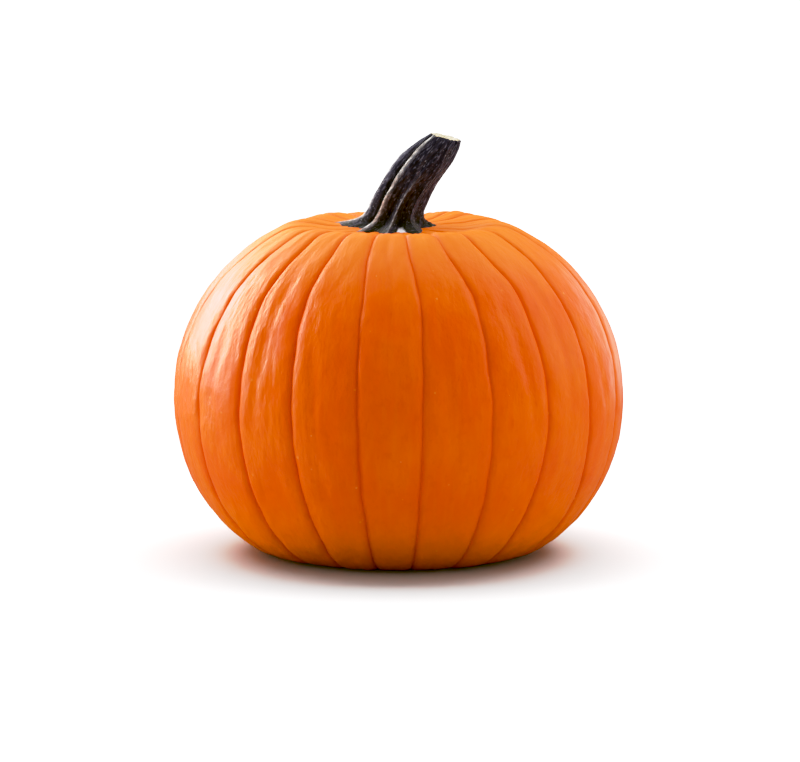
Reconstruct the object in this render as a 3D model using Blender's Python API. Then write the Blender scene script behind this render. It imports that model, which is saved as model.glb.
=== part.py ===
"""A carving pumpkin: one ribbed fruit and the cut woody stem that grows from its top.

Metres, +Z up. The origin is under the middle of the fruit, on the surface it rests on, and -Y is
the side with the broad, evenly spaced ribs. The fruit stands on a small flat ring round its
blossom scar. The stem stands on a flat seat in the crown, leans towards +X and ends in a slanting cut.
"""

import math

import bmesh
import bpy
from mathutils import Vector

# The fruit, from its foot up.
FRUIT_RADIUS = 0.140
WAIST_HEIGHT = 0.098  # where the fruit is widest
DOME_RISE = 0.1185  # from the waist to the top of the unpressed dome
DOME_ROUNDNESS = 0.85  # under 1 makes the shoulder fuller than a sphere's
BASE_DROP = 0.1125  # from the waist to the bottom of the unpressed base
BASE_ROUNDNESS = 0.74
FOOT_SOFTNESS = 0.006  # how gently the base curves into its flat spot
FOOT_PRESS = 0.00075  # how far the base is pressed flat by the fruit's own weight
SCAR_RECESS = 0.0035  # the blossom scar sits this far above the resting surface
SCAR_RECESS_RADIUS = 0.022

# The crown round the stem, sunk to a flat seat that slopes towards the front.
SEAT_HEIGHT = 0.203
SEAT_RADIUS = 0.040
SEAT_SLOPE = 0.09  # rise per metre towards +Y
CROWN_RADIUS = 0.080  # where the sunken crown meets the dome

# The ribs. Widths in degrees run anticlockwise from the first crease, seen from above.
RIB_WIDTHS = (18, 16, 16, 17, 16, 17, 16, 18, 19, 17, 18, 16, 18, 17, 17, 18, 16, 18, 17, 17, 18)
FIRST_CREASE = -167  # degrees from +X
CREASE_DEPTH = 0.0022
CREASE_SHARPNESS = 3
CREASE_FADE = 0.015  # creases die out over this distance, outside the seat and the scar
RIB_SWELL = 0.0006  # some ribs stand this much fuller than their neighbours
SWELL_STEP = 2.4  # radians from one rib's swell to the next

# The stem. Its sections are level ones, and its radii are measured square to its run.
STEM_GAP = 0.0003
STEM_HEIGHT = 0.0545
STEM_FOOT_X = -0.0030
STEM_TIP_X = 0.0285
STEM_BEND = 1.32  # over 1 keeps the foot of the stem nearer upright than its top
FOOT_RADIUS = 0.0240
FOOT_SHIFT_X = -0.0030  # the flare reaches further over the fruit on its -X side
NECK_RADIUS = 0.0132
TIP_RADIUS = 0.0088
TAPER = 2.5  # over 1 keeps the stem thick until near its tip
FLARE_HEIGHT = 0.0030  # the flare shrinks to about a third over this height
RIDGES = 7
RIDGE_SHARE = 0.12  # ridge height as a share of the stem's radius
TOE_SHARE = 0.11  # how much further the ridges reach where they run out over the fruit
RIDGE_PHASE = math.pi  # one ridge runs out over the fruit towards -X
RIDGE_TWIST = 0.35  # radians from foot to tip
CUT_SLOPE = 0.23  # the cut falls this much per metre of +X

# Mesh fineness.
COLUMNS_PER_RIB = 6
FRUIT_RINGS = 32
RING_EASE = 1.4  # over 1 crowds the rings towards the seat and the scar
COLUMNS_PER_RIDGE = 6
STEM_RINGS = 18
STEM_RING_EASE = 1.6  # over 1 crowds the rings towards the foot

COLLECTION_NAME = "pumpkin"
SKIN_COLOUR = (0.78, 0.19, 0.006, 1.0)
BARK_COLOUR = (0.045, 0.035, 0.038, 1.0)


def smooth_step(low, high, value):
    share = min(max((value - low) / (high - low), 0.0), 1.0)
    return share * share * (3.0 - 2.0 * share)


def clear_scene():
    for thing in list(bpy.data.objects):
        bpy.data.objects.remove(thing, do_unlink=True)


def make_material(name, colour, roughness):
    material = bpy.data.materials.new(name)
    material.use_nodes = True
    shader = material.node_tree.nodes["Principled BSDF"]
    shader.inputs["Base Color"].default_value = colour
    shader.inputs["Roughness"].default_value = roughness
    shader.inputs["Metallic"].default_value = 0.0
    material.diffuse_color = colour
    return material


def finish_object(name, mesh_builder, material, collection):
    mesh = bpy.data.meshes.new(name)
    mesh_builder.normal_update()
    mesh_builder.to_mesh(mesh)
    mesh_builder.free()
    mesh.materials.append(material)
    mesh.shade_smooth()
    part = bpy.data.objects.new(name, mesh)
    collection.objects.link(part)
    return part


def seat_height(y):
    return SEAT_HEIGHT + SEAT_SLOPE * y


def rib_place(column):
    """The azimuth of a column of the mesh, how far it is across its rib, and its rib's swell."""
    rib, step = divmod(column % (len(RIB_WIDTHS) * COLUMNS_PER_RIB), COLUMNS_PER_RIB)
    across = (1.0 - math.cos(math.pi * step / COLUMNS_PER_RIB)) / 2.0
    degrees = FIRST_CREASE + sum(RIB_WIDTHS[:rib]) + across * RIB_WIDTHS[rib]
    swell = RIB_SWELL * math.sin(SWELL_STEP * rib) * math.sin(math.pi * across)
    return math.radians(degrees), across, swell


def fruit_outline(latitude):
    """Distance from the axis and height of the smooth fruit, before its creases, seat and foot."""
    rise = math.sin(latitude)
    if rise >= 0.0:
        radius = FRUIT_RADIUS * math.cos(latitude) ** DOME_ROUNDNESS
        return radius, WAIST_HEIGHT + DOME_RISE * rise
    radius = FRUIT_RADIUS * math.cos(latitude) ** BASE_ROUNDNESS
    return radius, WAIST_HEIGHT + BASE_DROP * rise


def fruit_point(latitude, column):
    azimuth, across, swell = rib_place(column)
    radius, height = fruit_outline(latitude)

    inner_edge = SEAT_RADIUS if latitude > 0.0 else SCAR_RECESS_RADIUS
    fade = smooth_step(inner_edge, inner_edge + CREASE_FADE, radius)
    crease = (1.0 - math.sin(math.pi * across)) ** CREASE_SHARPNESS
    relief = 1.0 + fade * (swell - CREASE_DEPTH * crease) / FRUIT_RADIUS
    radius *= relief
    height = WAIST_HEIGHT + (height - WAIST_HEIGHT) * relief

    x = radius * math.cos(azimuth)
    y = radius * math.sin(azimuth)
    if latitude > 0.0:
        sunken = 1.0 - smooth_step(SEAT_RADIUS, CROWN_RADIUS, radius)
        height += sunken * (seat_height(y) - height)
    else:
        pressed_height = (height + math.hypot(height, FOOT_SOFTNESS)) / 2.0 - FOOT_PRESS
        recess = 1.0 - smooth_step(0.0, SCAR_RECESS_RADIUS, radius)
        height = max(pressed_height, 0.0) + SCAR_RECESS * recess
    return Vector((x, y, height))


def build_fruit(collection):
    """A ball whose rings and columns are moved out to the ribbed, flat-footed form."""
    columns = len(RIB_WIDTHS) * COLUMNS_PER_RIB
    ball = bmesh.new()
    bmesh.ops.create_uvsphere(ball, u_segments=columns, v_segments=FRUIT_RINGS, radius=1.0)
    quarter_turn = math.pi / 2.0
    for vertex in ball.verts:
        even_latitude = math.asin(min(max(vertex.co.z, -1.0), 1.0))
        from_pole = 1.0 - abs(even_latitude) / quarter_turn
        latitude = math.copysign(quarter_turn * (1.0 - max(from_pole, 0.0) ** RING_EASE), even_latitude)
        turn = math.atan2(vertex.co.y, vertex.co.x) / math.tau
        vertex.co = fruit_point(latitude, round(turn * columns))
    return finish_object("fruit", ball, make_material("orange_skin", SKIN_COLOUR, 0.32), collection)


def stem_point(share, angle):
    """A point on the bark: the foot follows the seat and the tip ends in the slanting cut."""
    flare = math.exp(-share * STEM_HEIGHT / FLARE_HEIGHT)
    ridge = math.cos(RIDGES * (angle - RIDGE_PHASE - RIDGE_TWIST * share))
    reach = NECK_RADIUS + (TIP_RADIUS - NECK_RADIUS) * share**TAPER
    reach += (FOOT_RADIUS - NECK_RADIUS) * flare
    reach *= 1.0 + (RIDGE_SHARE + TOE_SHARE * flare) * ridge

    run = STEM_TIP_X - STEM_FOOT_X
    centre_x = STEM_FOOT_X + FOOT_SHIFT_X * flare + run * share**STEM_BEND
    lean = math.atan(run / STEM_HEIGHT * STEM_BEND * share ** (STEM_BEND - 1.0))
    offset_x = reach * math.cos(angle) / math.cos(lean)
    y = reach * math.sin(angle)
    z = seat_height(y * (1.0 - share)) + STEM_GAP + STEM_HEIGHT * share
    z -= CUT_SLOPE * offset_x * smooth_step(0.3, 1.0, share)
    return Vector((centre_x + offset_x, y, z))


def build_stem(collection):
    """A capped cylinder, cut into rings that are moved out to the ridged, leaning form."""
    columns = RIDGES * COLUMNS_PER_RIDGE
    rod = bmesh.new()
    bmesh.ops.create_cone(rod, cap_ends=True, segments=columns, radius1=1.0, radius2=1.0, depth=1.0)
    upright = [edge for edge in rod.edges if abs(edge.verts[0].co.z - edge.verts[1].co.z) > 0.5]
    bmesh.ops.subdivide_edges(rod, edges=upright, cuts=STEM_RINGS - 1, use_grid_fill=True)
    for vertex in rod.verts:
        share = min(max(vertex.co.z + 0.5, 0.0), 1.0) ** STEM_RING_EASE
        vertex.co = stem_point(share, math.atan2(vertex.co.y, vertex.co.x))
    return finish_object("stem", rod, make_material("dark_bark", BARK_COLOUR, 0.62), collection)


clear_scene()
parts = bpy.data.collections.new(COLLECTION_NAME)
bpy.context.scene.collection.children.link(parts)
build_fruit(parts)
build_stem(parts)
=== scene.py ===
import math

import bpy
import numpy as np
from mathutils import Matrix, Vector


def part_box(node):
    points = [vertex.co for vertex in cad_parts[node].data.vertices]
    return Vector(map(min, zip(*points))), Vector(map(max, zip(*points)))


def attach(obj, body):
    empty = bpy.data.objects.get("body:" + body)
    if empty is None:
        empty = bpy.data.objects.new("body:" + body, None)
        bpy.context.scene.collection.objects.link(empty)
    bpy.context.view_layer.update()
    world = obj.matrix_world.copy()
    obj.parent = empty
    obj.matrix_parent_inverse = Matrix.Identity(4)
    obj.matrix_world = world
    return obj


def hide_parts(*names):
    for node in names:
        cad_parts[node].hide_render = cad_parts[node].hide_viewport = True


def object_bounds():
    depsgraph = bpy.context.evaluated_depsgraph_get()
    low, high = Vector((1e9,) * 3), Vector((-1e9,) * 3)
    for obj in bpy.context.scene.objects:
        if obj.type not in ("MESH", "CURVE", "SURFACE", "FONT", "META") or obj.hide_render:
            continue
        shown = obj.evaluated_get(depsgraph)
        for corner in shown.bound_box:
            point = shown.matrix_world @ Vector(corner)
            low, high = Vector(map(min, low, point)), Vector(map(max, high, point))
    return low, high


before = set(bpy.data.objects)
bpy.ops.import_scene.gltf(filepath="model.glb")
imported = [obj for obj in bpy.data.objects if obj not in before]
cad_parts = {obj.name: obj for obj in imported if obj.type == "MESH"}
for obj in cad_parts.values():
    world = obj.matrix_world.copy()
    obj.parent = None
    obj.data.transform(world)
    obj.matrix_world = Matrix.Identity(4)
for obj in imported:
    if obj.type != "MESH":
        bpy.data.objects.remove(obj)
cad_low, cad_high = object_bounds()

# ---------------------------------------------------------------------------------------------
# The fruit: a hollow berry with a hard, waxy rind, grown as one piece. Its ribs swell between
# the vessels that run from the stem to the blossom end, and each vessel holds the rind back in
# a narrow crease. It rests on a small flat spot, round the corky scar that the flower left.

fruit_low, fruit_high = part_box("fruit")
fruit_radius = (fruit_high.x - fruit_low.x) / 2
fruit_height = fruit_high.z - fruit_low.z

WAIST_HEIGHT = 0.470 * fruit_height  # where the fruit is widest
DOME_RISE = 0.569 * fruit_height  # from the waist to the top of the unpressed dome
DOME_ROUNDNESS = 0.85  # under 1 makes the shoulder fuller than a sphere's
BASE_DROP = 0.540 * fruit_height  # from the waist to the bottom of the unpressed base
BASE_ROUNDNESS = 0.74
FOOT_SOFTNESS = 0.006  # how gently the base curves into its flat spot
FOOT_PRESS = 0.00075  # how far the fruit's own weight presses its base flat
SCAR_RECESS = 0.0035  # how far the blossom scar is drawn up off the table
SCAR_RECESS_RADIUS = 0.022
SCAR_CORK = (0.0045, 0.0060)  # radii between which the cork of the scar gives way to skin

SEAT_HEIGHT = 0.975 * fruit_height  # the flat of the crown, where the stem stands
SEAT_SLOPE = 0.09  # rise per metre towards +Y
SEAT_RADIUS = 0.040
CROWN_RADIUS = 0.080  # where the sunken crown meets the dome

# Places in the crown that stand higher or lower: x, y and rise.
CROWN_BUMPS = [(0.033, 0.040, 0.0024), (0.012, 0.050, -0.0010), (-0.049, 0.045, 0.0018)]
CROWN_BUMP_WIDTH = 0.015

# Creases, anticlockwise from above: the rib widths in degrees, and how far each crease wanders
# off its meridian, in degrees, at the crown, the shoulder, the waist and the base.
FIRST_CREASE = -167  # degrees from +X
RIB_WIDTHS = (18, 16, 16, 17, 16, 17, 16, 18, 17, 19, 18, 16, 18, 17, 17, 18, 16, 18, 17, 17, 18)
WANDER_LATITUDES = (58, 35, 2, -45)
CREASE_WANDER = [
    (3.0, 1.0, 0.0, 0.0),
    (4.0, 0.5, -1.0, -1.0),
    (2.0, -0.5, 0.0, 1.5),
    (1.0, -1.0, 0.0, 2.5),
    (-1.5, -0.5, 0.0, 1.0),
    (-2.0, 0.5, 0.0, -0.5),
    (-4.5, 0.0, 0.5, 0.0),
    (-5.0, -0.5, 1.0, -1.5),
    (-2.5, -1.5, -1.0, 2.0),
    (2.0, 2.5, -1.0, -2.0),
]
HIDDEN_WANDER = 2.0  # degrees, the most that a crease round the back wanders
CREASE_JITTER = 0.30  # degrees, the small waviness of every crease
JITTER_LENGTH = 9.0  # degrees of latitude
JITTER_APART = 7.3  # keeps the waviness of one crease unlike the next one's
JITTER_SEED = 8

# How deep each crease is, as a share of the usual depth, and the range of the ones round the back.
CREASE_STRENGTH = [0.8, 1.0, 1.1, 1.1, 0.9, 0.8, 0.7, 0.8, 0.9, 0.8]
HIDDEN_STRENGTH = (0.7, 1.1)
ROUNDING_DEPTH = 0.0010  # how far a rib's edges fall below its middle
ROUNDING_SHARPNESS = 3.2
GROOVE_DEPTH = 0.0012  # the narrow groove along each crease, on top of the rounding
GROOVE_WIDTH = 0.0011
GROOVE_SHARPNESS = 1.3
FOOT_GROOVE_SHARE = 0.5  # a crease lifts off the table by this share of the groove's depth
CREASE_SHADE_SPREAD = 0.0016  # how far the darker colour of a crease spreads from it: partly the rind's own colour, partly painted shade

# Distances from the axis over which a crease begins beside the stem, deepens across the crown
# from a shallow share of its depth to the whole of it, and begins again beside the scar.
CREASE_BEGINS = (0.018, 0.034)
CREASE_DEEPENS = (0.030, 0.070)
SHALLOW_SHARE = 0.65
CREASE_BEGINS_BELOW = (0.008, 0.040)

# Furrows in the ribs, each a shallow secondary crease: the rib counted from the first crease,
# the place across the rib at its top and bottom end, its top and bottom latitude, and its depth.
FURROWS = [
    (1, 0.45, 0.35, 30, -5, 0.0009),
    (2, 0.50, 0.30, 45, -5, 0.0011),
    (3, 0.72, 0.30, 50, 28, 0.0006),
    (3, 0.30, 0.42, 24, -28, 0.0011),
    (4, 0.45, 0.50, 62, 22, 0.0012),
    (5, 0.30, 0.45, 28, -20, 0.0006),
    (6, 0.50, 0.75, 35, -5, 0.0011),
    (7, 0.45, 0.55, 45, 0, 0.0010),
    (8, 0.30, 0.60, 20, -15, 0.0010),
    (9, 0.45, 0.40, 30, -20, 0.0009),
]
FURROW_WIDTH = 0.0022
FURROW_LOWER_FADE = (-4, 10)  # degrees of latitude from its bottom end, over which it fades in
FURROW_UPPER_FADE = (-8, 4)  # and from its top end, over which it fades out

# The ranges that the furrows round the back are drawn from, and the seed of all that is drawn there.
HIDDEN_SEED = 7
HIDDEN_FURROW_PLACE = (0.3, 0.7)
HIDDEN_FURROW_TOP = (35, 60)
HIDDEN_FURROW_BOTTOM = (-20, 25)
HIDDEN_FURROW_DEPTH = (0.0004, 0.0009)

RIB_SWELL = 0.0004  # some ribs stand this much fuller than their neighbours
SWELL_STEP = 2.4  # radians from one rib's swell to the next
LUMP_DEPTH = 0.00046
LUMP_WIDTH = 0.010
LUMP_LENGTH = 0.022
LUMP_SEED = 1
SMALL_LUMP_SHARE = 0.5
SMALL_LUMP_FINENESS = 2.1
SMALL_LUMP_SEED = 2

COLUMNS_PER_RIB = 20
FRUIT_RINGS = 228
FRUIT_RING_EASE = 1.25  # over 1 crowds the rings towards the crown and the scar

RIND_ORANGE = (0.72, 0.082, 0.001, 1)
BLOTCH_ORANGE = (0.75, 0.103, 0.001, 1)
STREAK_ORANGE = (0.77, 0.135, 0.002, 1)
MOTTLE_ORANGE = (0.64, 0.070, 0.001, 1)
# Painted light: a lighter, yellower crown as if lit from above, and a lighter, yellower base as if lit from
# the floor below.
CROWN_TOP_LIT_ORANGE = (0.80, 0.190, 0.002, 1)
BASE_FLOOR_LIT_ORANGE = (0.92, 0.190, 0.002, 1)
# Partly the rind's own deeper colour and partly painted shade: the colour along the creases.
CREASE_SHADE_ORANGE = (0.60, 0.060, 0.001, 1)
SPECK_COLOUR = (0.88, 0.34, 0.07, 1)
CORK_COLOUR = (0.22, 0.12, 0.05, 1)
WAX_ROUGHNESS = (0.30, 0.44)
CREASE_DULLING = 0.30  # how much rougher than the wax the creases are, and the crown
CROWN_DULLING = 0.24

# Where the crown (painted light from above, duller wax, fewer wrinkles) and the base (painted light
# from the floor below) begin and are whole, up the skin from the waist, and where the skin turns
# from the smoother side to the more wrinkled one, along X.
CROWN_COLOUR_RISE = (0.55 * fruit_radius, 1.15 * fruit_radius)
BASE_FLOOR_LIGHT_DROP = (-0.35 * fruit_radius, -0.95 * fruit_radius)
WRINKLED_SIDE = (0.3 * fruit_radius, -0.5 * fruit_radius)


def smooth_step(low, high, value):
    share = np.clip((value - low) / (high - low), 0.0, 1.0)
    return share * share * (3.0 - 2.0 * share)


def ball_of_rings(name, columns, rings):
    """A closed ball of rings between two poles, with each vertex's column, and its ring from below."""
    column = np.arange(columns)
    following = (column + 1) % columns
    faces = []
    for ring in range(rings - 2):
        lower, upper = ring * columns, (ring + 1) * columns
        faces += zip(lower + column, lower + following, upper + following, upper + column)
    bottom_pole = (rings - 1) * columns
    top_pole = bottom_pole + 1
    faces += [(bottom_pole, following[step], step) for step in column]
    faces += [(top_pole, upper + step, upper + following[step]) for step in column]
    mesh = bpy.data.meshes.new(name)
    mesh.from_pydata(np.zeros((top_pole + 1, 3)), [], faces)
    every_column = np.append(np.tile(column, rings - 1), [0, 0])
    every_ring = np.append(np.repeat(np.arange(1, rings), columns), [0, rings])
    return mesh, every_column, every_ring


NOISE_SLOPES = 256  # a power of two, so that the number of a cell is wrapped by masking it
NOISE_GAIN = 1.6  # brings the noise to run from about -1 to 1


def noise_at(points, seed):
    """Smooth gradient noise at points measured in grains of that noise."""
    draw = np.random.default_rng(seed)
    shuffled = draw.permutation(NOISE_SLOPES)
    slopes = draw.normal(size=(NOISE_SLOPES, 3))
    slopes /= np.linalg.norm(slopes, axis=1, keepdims=True)
    cell = np.floor(points).astype(int)
    inside = points - cell
    eased = inside**3 * (inside * (inside * 6.0 - 15.0) + 10.0)
    total = np.zeros(len(points))
    for corner in np.ndindex(2, 2, 2):
        hashed = np.zeros(len(points), dtype=int)
        for step in (cell + corner).T:
            hashed = shuffled[(hashed + step) & (NOISE_SLOPES - 1)]
        slope = slopes[hashed]
        weight = np.prod(np.where(corner, eased, 1.0 - eased), axis=1)
        total += weight * np.sum(slope * (inside - corner), axis=1)
    return NOISE_GAIN * total


def set_attribute(mesh, name, values, kind="FLOAT"):
    attribute = mesh.attributes.new(name, kind, "POINT")
    field = "vector" if kind == "FLOAT_VECTOR" else "value"
    attribute.data.foreach_set(field, np.ascontiguousarray(values, dtype=np.float32).ravel())


def crease_azimuth(crease, latitude):
    """Where a crease runs at that latitude, in degrees from +X."""
    number = crease % len(RIB_WIDTHS)
    azimuth = crease_homes[crease] + crease_wander[number, 0]
    for station in range(len(WANDER_LATITUDES) - 1):
        upper, lower = WANDER_LATITUDES[station], WANDER_LATITUDES[station + 1]
        turn = crease_wander[number, station + 1] - crease_wander[number, station]
        azimuth = azimuth + turn * smooth_step(-upper, -lower, -latitude)
    along = [JITTER_APART * number, latitude / JITTER_LENGTH, np.zeros(len(latitude))]
    return azimuth + CREASE_JITTER * noise_at(np.stack(along, axis=1), JITTER_SEED)


draws = np.random.default_rng(HIDDEN_SEED)
hidden_creases = len(RIB_WIDTHS) - len(CREASE_WANDER)
hidden_wander = draws.uniform(-HIDDEN_WANDER, HIDDEN_WANDER, (hidden_creases, len(WANDER_LATITUDES)))
crease_wander = np.vstack([CREASE_WANDER, hidden_wander])
crease_strength = np.append(CREASE_STRENGTH, draws.uniform(*HIDDEN_STRENGTH, hidden_creases))
crease_homes = FIRST_CREASE + np.append(0, np.cumsum(RIB_WIDTHS))
all_furrows = list(FURROWS)
for hidden_rib in range(len(CREASE_WANDER), len(RIB_WIDTHS)):
    start, end = draws.uniform(*HIDDEN_FURROW_PLACE, 2)
    top, bottom = draws.uniform(*HIDDEN_FURROW_TOP), draws.uniform(*HIDDEN_FURROW_BOTTOM)
    all_furrows.append((hidden_rib, start, end, top, bottom, draws.uniform(*HIDDEN_FURROW_DEPTH)))

rind, column, ring = ball_of_rings("fruit_rind", len(RIB_WIDTHS) * COLUMNS_PER_RIB, FRUIT_RINGS)
latitude = (ring / FRUIT_RINGS - 0.5) * math.pi
from_pole = 1.0 - np.abs(latitude) / (math.pi / 2)
latitude = np.copysign(math.pi / 2 * (1.0 - from_pole**FRUIT_RING_EASE), latitude)
degrees_up = np.degrees(latitude)

rib = column // COLUMNS_PER_RIB
across = (1.0 - np.cos(math.pi * (column % COLUMNS_PER_RIB) / COLUMNS_PER_RIB)) / 2.0
left_crease = crease_azimuth(rib, degrees_up)
right_crease = crease_azimuth(rib + 1, degrees_up)
azimuth = np.radians(left_crease + across * (right_crease - left_crease))

rise = np.sin(latitude)
upper_half = rise >= 0.0
level = np.clip(np.cos(latitude), 0.0, 1.0)
radius = fruit_radius * level ** np.where(upper_half, DOME_ROUNDNESS, BASE_ROUNDNESS)
height = WAIST_HEIGHT + np.where(upper_half, DOME_RISE, BASE_DROP) * rise

# Where each vertex is on the grown skin, in metres: on a rod as wide as the fruit, and along the
# rod the way up the skin from the waist.
growth = np.stack(
    [fruit_radius * np.cos(azimuth), fruit_radius * np.sin(azimuth), fruit_radius * latitude], axis=1
)
lump_grain = growth / (LUMP_WIDTH, LUMP_WIDTH, LUMP_LENGTH)
lumps = noise_at(lump_grain, LUMP_SEED)
lumps += SMALL_LUMP_SHARE * noise_at(lump_grain * SMALL_LUMP_FINENESS, SMALL_LUMP_SEED)

rib_width = np.radians(right_crease - left_crease) * radius
off_crease = np.minimum(across, 1.0 - across) * rib_width
rounding = (1.0 - np.sin(math.pi * across)) ** ROUNDING_SHARPNESS
groove = np.exp(-((off_crease / GROOVE_WIDTH) ** GROOVE_SHARPNESS))
swell = RIB_SWELL * np.sin(SWELL_STEP * rib) * np.sin(math.pi * across)

furrows = np.zeros(len(rib))
for furrow_rib, start, end, top, bottom, depth in all_furrows:
    along = np.clip((top - degrees_up) / (top - bottom), 0.0, 1.0)
    distance = (across - start - (end - start) * along) * rib_width
    above_bottom = smooth_step(*np.add(bottom, FURROW_LOWER_FADE), degrees_up)
    past_top = smooth_step(*np.add(top, FURROW_UPPER_FADE), degrees_up)
    furrow = depth * above_bottom * (1 - past_top) * np.exp(-((distance / FURROW_WIDTH) ** 2))
    furrows += np.where(rib == furrow_rib, furrow, 0.0)

strength = crease_strength[(rib + (across > 0.5)) % len(RIB_WIDTHS)]
deepening = SHALLOW_SHARE + (1.0 - SHALLOW_SHARE) * smooth_step(*CREASE_DEEPENS, radius)
near_stem = smooth_step(*CREASE_BEGINS, radius) * deepening
fade = np.where(upper_half, near_stem, smooth_step(*CREASE_BEGINS_BELOW, radius))
creased = strength * (ROUNDING_DEPTH * rounding + GROOVE_DEPTH * groove)
relief = (swell + LUMP_DEPTH * lumps - creased - furrows) * fade

radius = radius * (1.0 + relief / fruit_radius)
height = WAIST_HEIGHT + (height - WAIST_HEIGHT) * (1.0 + relief / fruit_radius)
x = radius * np.cos(azimuth)
y = radius * np.sin(azimuth)
sunken = 1.0 - smooth_step(SEAT_RADIUS, CROWN_RADIUS, radius)
crown_height = height + sunken * (SEAT_HEIGHT + SEAT_SLOPE * y + relief - height)
for bump_x, bump_y, bump_rise in CROWN_BUMPS:
    from_bump = np.hypot(x - bump_x, y - bump_y)
    crown_height += bump_rise * np.exp(-((from_bump / CROWN_BUMP_WIDTH) ** 2))
pressed_height = np.maximum((height + np.hypot(height, FOOT_SOFTNESS)) / 2.0 - FOOT_PRESS, 0.0)
recess = 1.0 - smooth_step(0.0, SCAR_RECESS_RADIUS, radius)
foot_groove = FOOT_GROOVE_SHARE * GROOVE_DEPTH * groove * fade
foot_height = pressed_height + SCAR_RECESS * recess + foot_groove
height = np.where(upper_half, crown_height, foot_height)

rind.vertices.foreach_set("co", np.stack([x, y, height], axis=1).ravel())
rind.shade_smooth()
set_attribute(rind, "growth", growth, "FLOAT_VECTOR")
# Where the crease's darker colour lies, partly painted shade, and where the wax is duller.
set_attribute(rind, "crease", np.exp(-off_crease / CREASE_SHADE_SPREAD) * fade)
set_attribute(rind, "scar", np.where(upper_half, 0.0, 1.0 - smooth_step(*SCAR_CORK, radius)))

fruit = bpy.data.objects.new("pumpkin_fruit", rind)
bpy.context.scene.collection.objects.link(fruit)


def add_node(tree, kind, inputs=(), **properties):
    """A node with its properties set, and each named or numbered input set or linked."""
    made = tree.nodes.new(kind)
    for name, value in properties.items():
        setattr(made, name, value)
    for socket, value in dict(inputs).items():
        if isinstance(value, bpy.types.NodeSocket):
            tree.links.new(value, made.inputs[socket])
        else:
            made.inputs[socket].default_value = value
    return made


def colour_mix(tree, share, first, second):
    """The first colour where share is 0 and the second where it is 1."""
    return add_node(tree, "ShaderNodeMix", {0: share, 6: first, 7: second}, data_type="RGBA").outputs[2]


def maths(tree, operation, first, second=0.0, clamp=False):
    return add_node(
        tree, "ShaderNodeMath", {0: first, 1: second}, operation=operation, use_clamp=clamp
    ).outputs[0]


def times(tree, first, second):
    return maths(tree, "MULTIPLY", first, second)


def paint(tree, under, colour, where, strength=1.0):
    """The colour under, with another painted over it where the mask is 1, as strongly as that."""
    return colour_mix(tree, times(tree, where, strength), under, colour)


def band(tree, value, low, high):
    """0 where the value is at low or beyond it, 1 at high or beyond it, and smooth between."""
    return add_node(
        tree,
        "ShaderNodeMapRange",
        {"Value": value, "From Min": low, "From Max": high},
        interpolation_type="SMOOTHSTEP",
    ).outputs["Result"]


def spread(tree, value, low, high):
    """A value that runs from 0 to 1, brought to run from low to high."""
    return add_node(tree, "ShaderNodeMapRange", {"Value": value, "To Min": low, "To Max": high}).outputs[0]


def bump(tree, relief, depth, strength, over=None):
    """The normal of a relief, so many metres deep, laid over another bump or the bare surface."""
    inputs = {"Height": relief, "Distance": depth, "Strength": strength}
    if over is not None:
        inputs["Normal"] = over
    return add_node(tree, "ShaderNodeBump", inputs).outputs[0]


def new_group(name, inputs, outputs):
    """An empty group of nodes, with its own inputs and outputs."""
    group = bpy.data.node_groups.new(name, "ShaderNodeTree")
    for label, kind in inputs:
        group.interface.new_socket(label, in_out="INPUT", socket_type=kind)
    for label, kind in outputs:
        group.interface.new_socket(label, in_out="OUTPUT", socket_type=kind)
    return group, group.nodes.new("NodeGroupInput").outputs, group.nodes.new("NodeGroupOutput").inputs


def build_grown_streaks():
    """Streaks drawn out along the direction of growth, as a value round 0.5."""
    group, given, result = new_group(
        "grown_streaks",
        [("Growth", "NodeSocketVector"), ("Grains", "NodeSocketVector"), ("Detail", "NodeSocketFloat")],
        [("Streak", "NodeSocketFloat")],
    )
    scaled = add_node(
        group, "ShaderNodeVectorMath", {0: given["Growth"], 1: given["Grains"]}, operation="MULTIPLY"
    )
    grain = add_node(
        group,
        "ShaderNodeTexNoise",
        {"Vector": scaled.outputs[0], "Scale": 1.0, "Detail": given["Detail"], "Roughness": 0.55},
    )
    group.links.new(grain.outputs["Fac"], result["Streak"])
    return group


def build_scattered_specks():
    """Small round specks, scattered, of unlike sizes: 1 in the middle of a speck and 0 off it."""
    group, given, result = new_group(
        "scattered_specks",
        [
            ("Growth", "NodeSocketVector"),
            ("Grains", "NodeSocketVector"),
            ("Size", "NodeSocketFloat"),
            ("Share", "NodeSocketFloat"),
        ],
        [("Speck", "NodeSocketFloat")],
    )
    scaled = add_node(
        group, "ShaderNodeVectorMath", {0: given["Growth"], 1: given["Grains"]}, operation="MULTIPLY"
    )
    cells = add_node(group, "ShaderNodeTexVoronoi", {"Vector": scaled.outputs[0], "Scale": 1.0})
    drawn = add_node(group, "ShaderNodeSeparateColor", {0: cells.outputs["Color"]})
    reach = times(group, drawn.outputs[1], given["Size"])
    outwards = maths(group, "DIVIDE", cells.outputs["Distance"], reach)
    inside = maths(group, "SUBTRACT", 1.0, outwards, clamp=True)
    kept = maths(group, "LESS_THAN", drawn.outputs[0], given["Share"])
    group.links.new(times(group, inside, kept), result["Speck"])
    return group


grown_streaks = build_grown_streaks()
scattered_specks = build_scattered_specks()


def grains(width, length):
    """How often an effect repeats per metre, across the growth and along it."""
    return (1.0 / width, 1.0 / width, 1.0 / length)


def streaks(tree, growth_at, width, length, detail):
    return add_node(
        tree,
        "ShaderNodeGroup",
        {"Growth": growth_at, "Grains": grains(width, length), "Detail": detail},
        node_tree=grown_streaks,
    ).outputs["Streak"]


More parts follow.
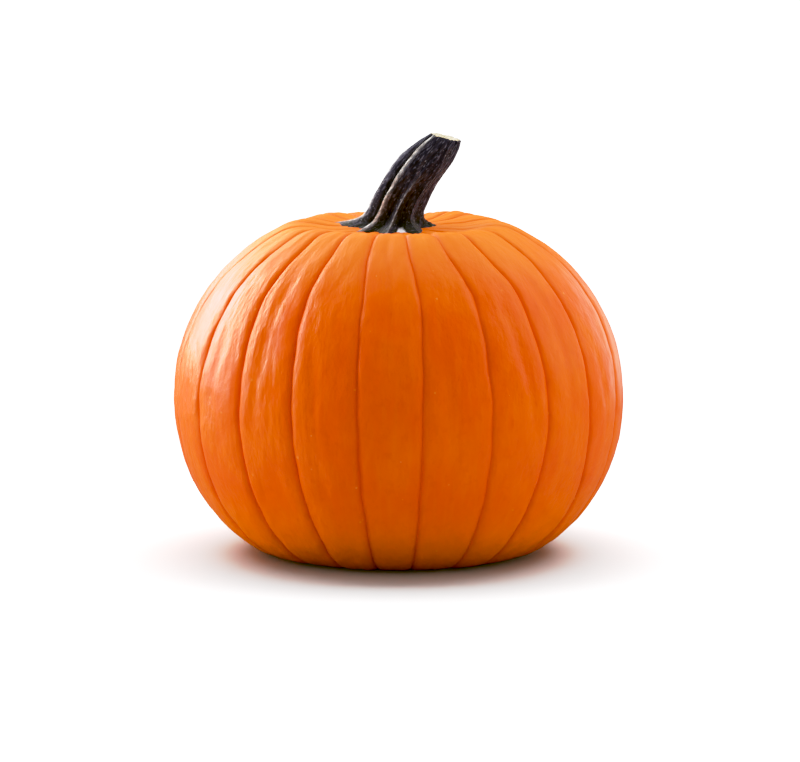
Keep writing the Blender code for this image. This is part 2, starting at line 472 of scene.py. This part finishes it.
def specks(tree, growth_at, width, length, size, share):
    """Specks in cells of that width and length: size is their radius in cells, at most."""
    return add_node(
        tree,
        "ShaderNodeGroup",
        {"Growth": growth_at, "Grains": grains(width, length), "Size": size, "Share": share},
        node_tree=scattered_specks,
    ).outputs["Speck"]


def new_material(name):
    material = bpy.data.materials.new(name)
    material.use_nodes = True
    tree = material.node_tree
    return material, tree, tree.nodes["Principled BSDF"]


def attribute_of(tree, name, output="Fac"):
    return add_node(tree, "ShaderNodeAttribute", attribute_name=name).outputs[output]


def make_rind():
    """Waxy orange skin: blotched and streaked, darker in the creases with its own colour and painted shade,
    and lighter and yellower at both ends with painted light, from above on the crown and from the floor on
    the base.
    """
    material, tree, shader = new_material("waxy_orange_rind")
    growth_at = attribute_of(tree, "growth", "Vector")
    crease_at = attribute_of(tree, "crease")
    scar_at = attribute_of(tree, "scar")
    place = add_node(tree, "ShaderNodeSeparateXYZ", {0: growth_at}).outputs
    crown = band(tree, place["Z"], *CROWN_COLOUR_RISE)
    base = band(tree, place["Z"], *BASE_FLOOR_LIGHT_DROP)

    blotches = streaks(tree, growth_at, width=0.030, length=0.050, detail=2.0)
    streak = streaks(tree, growth_at, width=0.0035, length=0.035, detail=3.0)
    mottle = streaks(tree, growth_at, width=0.0055, length=0.0080, detail=3.0)
    pale = specks(tree, growth_at, width=0.009, length=0.011, size=0.15, share=0.45)

    orange = colour_mix(tree, band(tree, blotches, 0.35, 0.65), RIND_ORANGE, BLOTCH_ORANGE)
    orange = paint(tree, orange, STREAK_ORANGE, band(tree, streak, 0.45, 0.75), strength=0.25)
    orange = paint(tree, orange, MOTTLE_ORANGE, band(tree, mottle, 0.52, 0.70), strength=0.35)
    # Painted light: the crown lighter and yellower as if lit from above, the base as if lit from the floor
    # below.
    orange = paint(tree, orange, CROWN_TOP_LIT_ORANGE, crown, strength=0.5)
    orange = paint(tree, orange, BASE_FLOOR_LIT_ORANGE, base, strength=0.9)
    # Darker along the creases: partly the rind's own colour, partly painted shade.
    orange = paint(tree, orange, CREASE_SHADE_ORANGE, crease_at, strength=0.55)
    orange = paint(tree, orange, SPECK_COLOUR, pale, strength=0.5)
    orange = paint(tree, orange, CORK_COLOUR, scar_at)
    tree.links.new(orange, shader.inputs["Base Color"])

    waxy = spread(tree, mottle, *WAX_ROUGHNESS)
    duller = maths(tree, "MAXIMUM", times(tree, crease_at, CREASE_DULLING), times(tree, crown, CROWN_DULLING))
    tree.links.new(maths(tree, "ADD", waxy, duller), shader.inputs["Roughness"])
    shader.inputs["Specular IOR Level"].default_value = 0.25

    # The skin is wrinkled in patches, most on one side and least on the crown.
    wrinkled_side = band(tree, place["X"], *WRINKLED_SIDE)
    patchy = times(tree, band(tree, blotches, 0.35, 0.62), spread(tree, wrinkled_side, low=0.4, high=1.4))
    below_crown = spread(tree, crown, low=1.0, high=0.3)
    wrinkling = times(tree, maths(tree, "ADD", patchy, 0.35), below_crown)
    wrinkles = times(tree, streaks(tree, growth_at, width=0.0055, length=0.017, detail=3.0), wrinkling)
    dents = streaks(tree, growth_at, width=0.0036, length=0.0052, detail=2.0)
    pores = streaks(tree, growth_at, width=0.0011, length=0.0013, detail=2.0)
    skin = bump(tree, wrinkles, depth=0.0007, strength=0.9)
    skin = bump(tree, dents, depth=0.00045, strength=0.6, over=skin)
    skin = bump(tree, pores, depth=0.00006, strength=0.5, over=skin)
    skin = bump(tree, pale, depth=0.0002, strength=0.5, over=skin)
    tree.links.new(skin, shader.inputs["Normal"])
    return material


rind.materials.append(make_rind())
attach(fruit, "root")
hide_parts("fruit")

# ---------------------------------------------------------------------------------------------
# The stem: the woody handle that the fruit hung from, cut off the vine with a knife. Sharp
# ridges of dry bark run up it, and spread at its foot into toes that are grown fast to the rind.

stem_low, stem_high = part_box("stem")

STEM_FOOT_X = stem_low.x + 0.0312  # from the longest toe to the middle of the foot
STEM_HEIGHT = 0.9308 * (stem_high.z - stem_low.z)  # up to the middle of the slanting cut
STEM_RUN = 0.4276 * (stem_high.x - stem_low.x)  # how far the stem leans towards +X by its cut
STEM_BEND = 1.5  # over 1 keeps the foot of the stem nearer upright than its top
STEM_HALF_WIDTH = 0.0180
STEM_TAPER = 0.0018
TIP_TAPER = 0.0059  # on top of the even taper, and nearly all of it close to the cut
TIP_TAPER_POWER = 6
CUT_SLOPE = 0.243  # the cut falls this much per metre of +X
CUT_SLOPE_BACK = 0.12  # and rises this much per metre of +Y
CUT_SLOPE_FROM = 0.3  # the fibres start to take the slope of the cut this far up
CUT_SINK = 0.0010  # how far the middle of the cut face has dried in
CUT_SINK_FROM = 0.75  # from this far in from its rim
CUT_RIM = (0.02, 0.10)  # how far in from its rim the cut face turns from bark to wood
RAGGED_RELIEF = 0.0005  # how ragged the rim of the cut is
RAGGED_GRAIN = 0.002
RAGGED_FROM = 0.975
RAGGED_SEED = 5
FOOT_SINK = 0.0003  # how far the foot is grown into the rind
UNDERSIDE_SINK = 0.0012  # how much deeper the middle of its underside is
FLARE_HEIGHT = 0.0036
FLARE_EDGE = 1.25  # over 1 gives the foot a blunt edge
FLARE_REACH = 0.0095
FLARE_BETWEEN_TOES = 0.5  # the share of its reach that is left in the valleys between the toes
TOE_SHARPNESS = 0.8
TOE_SHIFT_X = -0.0030

# Each ridge: its azimuth at the foot, a sixth of the way up and at the cut in degrees, how far its
# toe reaches beyond the others', how far it stands proud halfway up and at the cut, how pale its
# crest is at the foot and at the cut, the width of the pale strip, and the valley on its
# anticlockwise side: its depth below and above as a share of the radius, and how far it leans
# towards the next ridge. A pale crest is partly bark rubbed pale with wear and partly a painted
# highlight, strongest on the first two ridges, which face the lights at the left.
STEM_RIDGES = [
    (154, 178, 174, 0.0095, 0.0010, -0.0022, 0.75, 0.60, 0.0012, 0.50, 0.34, 2.4),
    (228, 231, 226, 0.0025, 0.0007, 0.0, 1.00, 1.00, 0.0011, 0.22, 0.03, 1.5),
    (268, 268, 284, 0.0070, 0.0, 0.0, 0.22, 0.00, 0.0007, 0.22, 0.02, 0.8),
    (305, 300, 318, 0.0075, 0.0, 0.0, 0.00, 0.00, 0.0008, 0.14, 0.06, 1.0),
    (368, 345, 352, 0.0035, 0.0, 0.0, 0.10, 0.10, 0.0008, 0.20, 0.12, 1.0),
    (400, 388, 390, 0.0010, 0.0, 0.0, 0.30, 0.20, 0.0008, 0.24, 0.14, 1.2),
    (440, 434, 430, 0.0020, 0.0006, 0.0, 0.45, 0.35, 0.0008, 0.22, 0.14, 0.9),
    (490, 482, 480, 0.0000, 0.0010, 0.0, 0.40, 0.40, 0.0008, 0.26, 0.16, 1.0),
]
AZIMUTH_AT_FOOT, AZIMUTH_LOW, AZIMUTH_AT_CUT, TOE_REACH, PROUD_HALFWAY, PROUD_AT_CUT = range(6)
PALE_CREST_AT_FOOT, PALE_CREST_AT_CUT, PALE_STRIP_WIDTH, VALLEY_BELOW, VALLEY_ABOVE, VALLEY_LEAN = range(6, 12)

# The shares of the height at which a ridge has its second azimuth, and between which its pale crest
# and its valley go over from the one below to the one above.
LOW_SHARE = 0.15
PALE_CREST_CHANGES = (0.25, 0.65)
VALLEY_CHANGES = (0.2, 0.7)
PROUD_AT_CUT_FROM = 0.6
VALLEY_SHARPNESS = 0.85  # under 1 gives the valleys steep sides and the ridges sharp crests
PROUD_SHARPNESS = 0.6
PALE_STRIP_ARC_RADIUS = 0.015  # the stem's usual radius, for the widths of the pale strips
PALE_STRIP_SIDE_SHARE = 0.8  # how much the depth down a ridge's side counts towards leaving its pale strip
PALE_STRIP_EDGE = 1.5
FLARE_PALE_LOST = 0.8  # the share of the pale crest that is missing on the toes
VALLEY_SHADE_DEPTH = 0.28  # a valley as deep as this share of the radius has its painted shade at its darkest

# Relief of the bark, with the size of its grain, twice across the fibres and once along them.
FIBRE_RADIUS = 0.013  # the grain is laid out on a rod of this radius
FIBRE_RELIEF, FIBRE_GRAIN, FIBRE_SEED = 0.00048, (0.0012, 0.0012, 0.005), 3
KNOB_RELIEF, KNOB_GRAIN, KNOB_SEED = 0.00050, (0.0040, 0.0040, 0.012), 4
TOE_RELIEF, TOE_GRAIN, TOE_SEED = 0.0016, (0.0022, 0.0022, 0.006), 6

# A torn place at the foot, where the skin under the bark shows white.
SCUFF_AZIMUTH = 290
SCUFF_WIDTH = 7  # degrees
SCUFF_HEIGHT = 0.0032
GREEN_HEIGHT = 0.006  # how far the green of the foot runs up the stem

COLUMNS_PER_VALLEY = 26
STEM_RINGS = 150
UNDER_RINGS = 6  # rings of the closed underside, hidden in the crown
CUT_RINGS = 16  # rings of the cut face
SIDE_RINGS = STEM_RINGS - UNDER_RINGS - CUT_RINGS
STEM_RING_EASE = 1.25  # over 1 crowds the rings towards the foot

DARK_BARK = (0.010, 0.008, 0.028, 1)
FIBRE_BARK = (0.036, 0.030, 0.058, 1)
BROWN_BARK = (0.050, 0.038, 0.050, 1)
GREEN_BARK = (0.012, 0.015, 0.007, 1)
CHIPPED_BARK = (0.15, 0.14, 0.19, 1)
FLECK_COLOUR = (0.55, 0.53, 0.56, 1)
# Painted shade: the near-black laid down the deep valleys.
VALLEY_SHADE_COLOUR = (0.005, 0.005, 0.016, 1)
# Partly wear, partly a painted highlight: the pale colour of the crests, brightest on the ridges lit from the
# left.
WORN_AND_RIM_LIGHT_COLOUR = (0.86, 0.84, 0.80, 1)
SCUFF_COLOUR = (0.78, 0.80, 0.88, 1)
WOOD_DARK = (0.46, 0.36, 0.20, 1)
WOOD_PALE = (0.76, 0.68, 0.48, 1)
BARK_ROUGHNESS = (0.55, 0.75)

stem_columns = len(STEM_RIDGES) * COLUMNS_PER_VALLEY
bark, column, ring = ball_of_rings("stem_bark", stem_columns, STEM_RINGS)
share = np.clip((ring - UNDER_RINGS) / SIDE_RINGS, 0.0, 1.0) ** STEM_RING_EASE  # 0 at the foot, 1 at the cut
inset = np.clip((ring - UNDER_RINGS - SIDE_RINGS) / CUT_RINGS, 0.0, 1.0)  # 1 in the middle of the cut
under = np.clip(1.0 - ring / UNDER_RINGS, 0.0, 1.0)  # 1 in the middle of the underside

ridge_table = np.array(STEM_RIDGES + STEM_RIDGES[:1])
ridge_table[-1, [AZIMUTH_AT_FOOT, AZIMUTH_LOW, AZIMUTH_AT_CUT]] += 360
ridge = column // COLUMNS_PER_VALLEY
between = (1.0 - np.cos(math.pi * (column % COLUMNS_PER_VALLEY) / COLUMNS_PER_VALLEY)) / 2.0
here, there = ridge_table[ridge], ridge_table[ridge + 1]
nearer = np.where((between < 0.5)[:, None], here, there)


def ridge_azimuth(row):
    low_turn = row[:, AZIMUTH_LOW] - row[:, AZIMUTH_AT_FOOT]
    high_turn = row[:, AZIMUTH_AT_CUT] - row[:, AZIMUTH_LOW]
    azimuth = row[:, AZIMUTH_AT_FOOT] + low_turn * smooth_step(0.0, LOW_SHARE, share)
    return azimuth + high_turn * smooth_step(LOW_SHARE, 1.0, share)


def from_one_to_other(row, one, other, changes):
    """A ridge's own value, going over from one column to the other between two shares of the height."""
    return row[:, one] + (row[:, other] - row[:, one]) * smooth_step(*changes, share)


here_azimuth, there_azimuth = ridge_azimuth(here), ridge_azimuth(there)
angle = np.radians(here_azimuth + between * (there_azimuth - here_azimuth))
toe = here[:, TOE_REACH] + (there[:, TOE_REACH] - here[:, TOE_REACH]) * between
flare = np.exp(-((share * STEM_HEIGHT / FLARE_HEIGHT) ** FLARE_EDGE))
valley_depth = from_one_to_other(here, VALLEY_BELOW, VALLEY_ABOVE, VALLEY_CHANGES)
valley = valley_depth * np.sin(math.pi * between ** here[:, VALLEY_LEAN]) ** VALLEY_SHARPNESS
crestness = 1.0 - np.sin(math.pi * between)
half_width = STEM_HALF_WIDTH - STEM_TAPER * share - TIP_TAPER * share**TIP_TAPER_POWER
toe_shape = FLARE_BETWEEN_TOES + (1.0 - FLARE_BETWEEN_TOES) * crestness**TOE_SHARPNESS
toe_reach = flare * (FLARE_REACH + toe) * toe_shape

# Where each vertex is along the fibres, in metres: they run on out into the toes.
fibre = np.stack(
    [FIBRE_RADIUS * np.cos(angle), FIBRE_RADIUS * np.sin(angle), STEM_HEIGHT * share - toe_reach], axis=1
)
proud = nearer[:, PROUD_HALFWAY] * np.sin(math.pi * share)
proud += nearer[:, PROUD_AT_CUT] * smooth_step(PROUD_AT_CUT_FROM, 1.0, share)
reach = half_width * (1.0 - valley) + toe_reach + proud * crestness**PROUD_SHARPNESS
reach += FIBRE_RELIEF * noise_at(fibre / FIBRE_GRAIN, FIBRE_SEED)
reach += KNOB_RELIEF * noise_at(fibre / KNOB_GRAIN, KNOB_SEED)
reach += TOE_RELIEF * flare * noise_at(fibre / TOE_GRAIN, TOE_SEED)

lean = np.arctan(STEM_RUN / STEM_HEIGHT * STEM_BEND * share ** (STEM_BEND - 1.0))
reach_kept = (1.0 - inset) * (1.0 - under)
offset_x = reach * np.cos(angle) * reach_kept
offset_y = reach * np.sin(angle) * reach_kept * np.cos(lean)
centre_x = STEM_FOOT_X + TOE_SHIFT_X * flare + STEM_RUN * share**STEM_BEND
seat = SEAT_HEIGHT + SEAT_SLOPE * offset_y * (1.0 - share)
height = seat - FOOT_SINK - UNDERSIDE_SINK * under + (STEM_HEIGHT + FOOT_SINK) * share
height -= (CUT_SLOPE * offset_x - CUT_SLOPE_BACK * offset_y) * smooth_step(CUT_SLOPE_FROM, 1.0, share)
ragged = noise_at(np.stack([offset_x, offset_y, np.zeros(len(share))], axis=1) / RAGGED_GRAIN, RAGGED_SEED)
height += RAGGED_RELIEF * ragged * smooth_step(RAGGED_FROM, 1.0, share)
height -= CUT_SINK * smooth_step(CUT_SINK_FROM, 1.0, inset)

# The pale crests: bark pale with wear, and a painted highlight on the ridges that face the left lights.
pale_crest = from_one_to_other(nearer, PALE_CREST_AT_FOOT, PALE_CREST_AT_CUT, PALE_CREST_CHANGES)
off_crest = np.minimum(between, 1.0 - between) * np.radians(there_azimuth - here_azimuth) * PALE_STRIP_ARC_RADIUS
down_the_side = np.hypot(off_crest, PALE_STRIP_SIDE_SHARE * valley * half_width)
crest = pale_crest * np.exp(-((down_the_side / nearer[:, PALE_STRIP_WIDTH]) ** PALE_STRIP_EDGE))
off_scuff = (angle - math.radians(SCUFF_AZIMUTH)) / math.radians(SCUFF_WIDTH)
height_up = share * STEM_HEIGHT

bark.vertices.foreach_set("co", np.stack([centre_x + offset_x, offset_y, height], axis=1).ravel())
bark.shade_smooth()
set_attribute(bark, "growth", fibre, "FLOAT_VECTOR")
set_attribute(bark, "crest", crest * (1.0 - FLARE_PALE_LOST * flare))
# How much painted shade each valley takes, from its depth.
set_attribute(bark, "hollow", np.minimum((valley / VALLEY_SHADE_DEPTH) ** 2, 1.0) * (1.0 - flare))
set_attribute(bark, "scuff", np.exp(-(off_scuff**2) - height_up / SCUFF_HEIGHT))
set_attribute(bark, "foot", np.exp(-height_up / GREEN_HEIGHT))
set_attribute(bark, "cut", smooth_step(*CUT_RIM, inset))

stem = bpy.data.objects.new("pumpkin_stem", bark)
bpy.context.scene.collection.objects.link(stem)


def make_bark():
    """Dry blue-black bark: fibrous, chipped and flecked, with painted shade down its valleys, pale along its
    crests with wear and with a painted highlight on the ridges lit from the left, and cream where it is cut.
    """
    material, tree, shader = new_material("dry_dark_bark")
    growth_at = attribute_of(tree, "growth", "Vector")
    crest_at = attribute_of(tree, "crest")
    foot_at = attribute_of(tree, "foot")
    valley_shade_at = attribute_of(tree, "hollow")
    scuff_at = attribute_of(tree, "scuff")
    cut_at = attribute_of(tree, "cut")

    fibres = streaks(tree, growth_at, width=0.0016, length=0.009, detail=5.0)
    patches = streaks(tree, growth_at, width=0.004, length=0.010, detail=2.0)
    chips = streaks(tree, growth_at, width=0.0008, length=0.0026, detail=3.0)
    flecks = specks(tree, growth_at, width=0.0010, length=0.0016, size=0.44, share=0.30)

    dark = colour_mix(tree, band(tree, fibres, 0.40, 0.66), DARK_BARK, FIBRE_BARK)
    dark = paint(tree, dark, BROWN_BARK, band(tree, patches, 0.50, 0.72), strength=0.6)
    dark = paint(tree, dark, GREEN_BARK, band(tree, patches, 0.30, 0.55), strength=foot_at)
    chipping = spread(tree, foot_at, low=0.65, high=0.25)
    dark = paint(tree, dark, CHIPPED_BARK, band(tree, chips, 0.54, 0.68), strength=chipping)
    clustered = times(tree, flecks, band(tree, patches, 0.42, 0.58))
    dark = paint(tree, dark, FLECK_COLOUR, clustered, strength=0.6)
    # Painted shade down the deep valleys.
    dark = paint(tree, dark, VALLEY_SHADE_COLOUR, valley_shade_at, strength=0.85)
    # Pale crests, partly wear and partly a painted highlight, broken up by the chips.
    crest_breakup = spread(tree, band(tree, chips, 0.42, 0.60), low=0.5, high=1.5)
    wear_and_rim_light_at = maths(tree, "MULTIPLY", crest_at, crest_breakup, clamp=True)
    dark = paint(tree, dark, WORN_AND_RIM_LIGHT_COLOUR, wear_and_rim_light_at)
    frayed = times(tree, scuff_at, spread(tree, fibres, low=0.5, high=1.5))
    dark = paint(tree, dark, SCUFF_COLOUR, band(tree, frayed, 0.35, 0.65))
    wood = colour_mix(tree, band(tree, fibres, 0.3, 0.7), WOOD_DARK, WOOD_PALE)
    tree.links.new(colour_mix(tree, cut_at, dark, wood), shader.inputs["Base Color"])

    tree.links.new(spread(tree, fibres, *BARK_ROUGHNESS), shader.inputs["Roughness"])
    shader.inputs["Specular IOR Level"].default_value = 0.12
    shader.inputs["Sheen Weight"].default_value = 0.15
    shader.inputs["Sheen Roughness"].default_value = 0.35
    tree.links.new(bump(tree, fibres, depth=0.0009, strength=1.0), shader.inputs["Normal"])
    return material


bark.materials.append(make_bark())
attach(stem, "root")
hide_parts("stem")

# ---------------------------------------------------------------------------------------------
# The studio: a round white table in a white room that is dimmer on its far side. One wide soft
# box lights the table alone, which keeps the shadow short and grey, and those at the sides and
# the back light the pumpkin alone. The one on top lights both.

TABLE_RADIUS = 1.1
TABLE_CORNERS = 96
TABLE_SHOWN = (0.52, 0.30)  # how far out it has faded into the white room, and where that starts
TABLE_SEEN = (0.66, 0.675, 0.68, 1)
TABLE_THROWN = (0.38, 0.37, 0.365, 1)  # its colour for the light that it throws up at the pumpkin
TABLE_MIRRORED = (0.06, 0.06, 0.06, 1)
ROOM_SEEN = (1.8, 1.8, 1.8, 1)
ROOM_THROWN = (0.54, 0.54, 0.54, 1)
ROOM_THROWN_BACK = (0.20, 0.20, 0.20, 1)
ROOM_MIRRORED = (0.12, 0.12, 0.12, 1)
ROOM_DIMS = (-0.15, 0.35)  # how far a direction points to +Y where the room starts and ends dimming

bpy.ops.mesh.primitive_circle_add(
    vertices=TABLE_CORNERS, radius=TABLE_RADIUS, fill_type="NGON", location=(0, 0, cad_low.z)
)
floor = bpy.context.object
floor.name = "studio_floor"
floor_paper, paper_tree, paper = new_material("white_paper")
rays = add_node(paper_tree, "ShaderNodeLightPath").outputs
paper_white = colour_mix(paper_tree, rays["Is Camera Ray"], TABLE_THROWN, TABLE_SEEN)
paper_white = colour_mix(paper_tree, rays["Is Glossy Ray"], paper_white, TABLE_MIRRORED)
paper_tree.links.new(paper_white, paper.inputs["Base Color"])
from_middle = add_node(paper_tree, "ShaderNodeTexCoord").outputs["Object"]
distance_out = add_node(paper_tree, "ShaderNodeVectorMath", {0: from_middle}, operation="LENGTH")
near_fruit = band(paper_tree, distance_out.outputs["Value"], *TABLE_SHOWN)
unseen = maths(paper_tree, "SUBTRACT", 1.0, rays["Is Camera Ray"])
paper_tree.links.new(maths(paper_tree, "MAXIMUM", near_fruit, unseen), paper.inputs["Alpha"])
paper.inputs["Roughness"].default_value = 0.8
paper.inputs["Specular IOR Level"].default_value = 0.0
floor.data.materials.append(floor_paper)

room = bpy.data.worlds.new("white_room")
room.use_nodes = True
room_tree = room.node_tree
rays = add_node(room_tree, "ShaderNodeLightPath").outputs
direction = add_node(room_tree, "ShaderNodeTexCoord").outputs["Generated"]
towards_back = add_node(room_tree, "ShaderNodeSeparateXYZ", {0: direction}).outputs["Y"]
wall_light = colour_mix(
    room_tree, band(room_tree, towards_back, *ROOM_DIMS), ROOM_THROWN, ROOM_THROWN_BACK
)
wall_light = colour_mix(room_tree, rays["Is Glossy Ray"], wall_light, ROOM_MIRRORED)
wall_light = colour_mix(room_tree, rays["Is Camera Ray"], wall_light, ROOM_SEEN)
room_tree.links.new(wall_light, room_tree.nodes["Background"].inputs["Color"])
bpy.context.scene.world = room

middle = (cad_low + cad_high) / 2


def soft_box(name, direction, distance, width, height, radiance, lights="both"):
    """A flat soft light that faces the middle of the object, for its colour, its sheen or both."""
    lamp = bpy.data.lights.new(name, "AREA")
    lamp.shape = "RECTANGLE"
    lamp.size, lamp.size_y = width, height
    lamp.energy = radiance * math.pi * width * height
    box = bpy.data.objects.new(name, lamp)
    towards = Vector(direction).normalized()
    box.location = middle + towards * distance
    box.rotation_euler = (-towards).to_track_quat("-Z", "Y").to_euler()
    box.visible_camera = False
    box.visible_glossy = lights != "colour"
    box.visible_diffuse = lights != "sheen"
    bpy.context.scene.collection.objects.link(box)
    return box


def light_only(boxes, name, things):
    """Lets those boxes light nothing but those things."""
    lit = bpy.data.collections.new(name)
    for thing in things:
        lit.objects.link(thing)
    for box in boxes:
        box.light_linking.receiver_collection = lit


# Each box: its name, its direction from the pumpkin, its distance, width, height and radiance.
soft_box("top_soft_box", (0.0, 0.42, 0.9), 1.5, 2.2, 1.6, 3.1, "colour")
table_box = soft_box("table_soft_box", (0.0, 0.1, 1.0), 1.5, 3.2, 1.2, 6.6, "colour")
side_boxes = [
    soft_box("right_soft_box", (1.0, 0.22, 0.50), 1.5, 1.8, 1.6, 3.1, "colour"),
    soft_box("left_soft_box", (-0.95, 0.20, 0.30), 1.3, 0.9, 1.0, 9.6, "colour"),
    soft_box("left_sheen_box", (-0.85, 0.44, 0.39), 1.3, 1.0, 0.9, 9.0, "sheen"),
    soft_box("back_left_box", (-0.5, 0.82, 0.42), 1.5, 0.8, 0.7, 4.0),
    soft_box("back_right_box", (0.58, 0.82, 0.12), 1.5, 0.6, 0.7, 1.8),
]
light_only([table_box], "lit_by_the_table_box", [floor])
light_only(side_boxes, "lit_by_the_side_boxes", [fruit, stem])

# The film's tone: bright parts are held back by a soft shoulder, and the black is a little blue.
EXPOSURE = 0.14
BLACK_LEVEL = (0.005, 0.005, 0.016)
TONE_CURVE = [(0.3, 0.3), (0.6, 0.6), (1.08, 0.80), (1.7, 0.98)]  # light in, and light out
TONE_CURVE_END = (3.0, 1.15)
TONE_CURVE_LIMIT = 4.0

look = bpy.context.scene.view_settings
look.view_transform = "Standard"
look.exposure = EXPOSURE
look.use_curve_mapping = True
tone = look.curve_mapping
tone.use_clip = False
tone.clip_max_x = TONE_CURVE_LIMIT
tone.clip_max_y = TONE_CURVE_LIMIT
tone.black_level = BLACK_LEVEL
all_colours = tone.curves[3]
all_colours.points[1].location = TONE_CURVE_END
for light_in, light_out in TONE_CURVE:
    all_colours.points.new(light_in, light_out)
tone.update()

# ---------------------------------------------------------------------------------------------
# The camera: a long lens a little above the fruit, looking along +Y. It stands about two metres
# away, so that the far side of the crown is seen just over the near one.

CAMERA_ELEVATION = math.radians(7)
CAMERA_DISTANCE = 1.96
CAMERA_TARGET = Vector((0.0011, 0.0, 0.1065))
CAMERA_LENS = 141.5  # millimetres, as is the sensor
CAMERA_SENSOR = 36.0

camera = bpy.data.objects.new("camera", bpy.data.cameras.new("camera"))
camera.data.lens = CAMERA_LENS
camera.data.sensor_width = CAMERA_SENSOR
back = Vector((0.0, -math.cos(CAMERA_ELEVATION), math.sin(CAMERA_ELEVATION)))
camera.location = CAMERA_TARGET + back * CAMERA_DISTANCE
camera.rotation_euler = (-back).to_track_quat("-Z", "Y").to_euler()
bpy.context.scene.collection.objects.link(camera)
bpy.context.scene.camera = camera
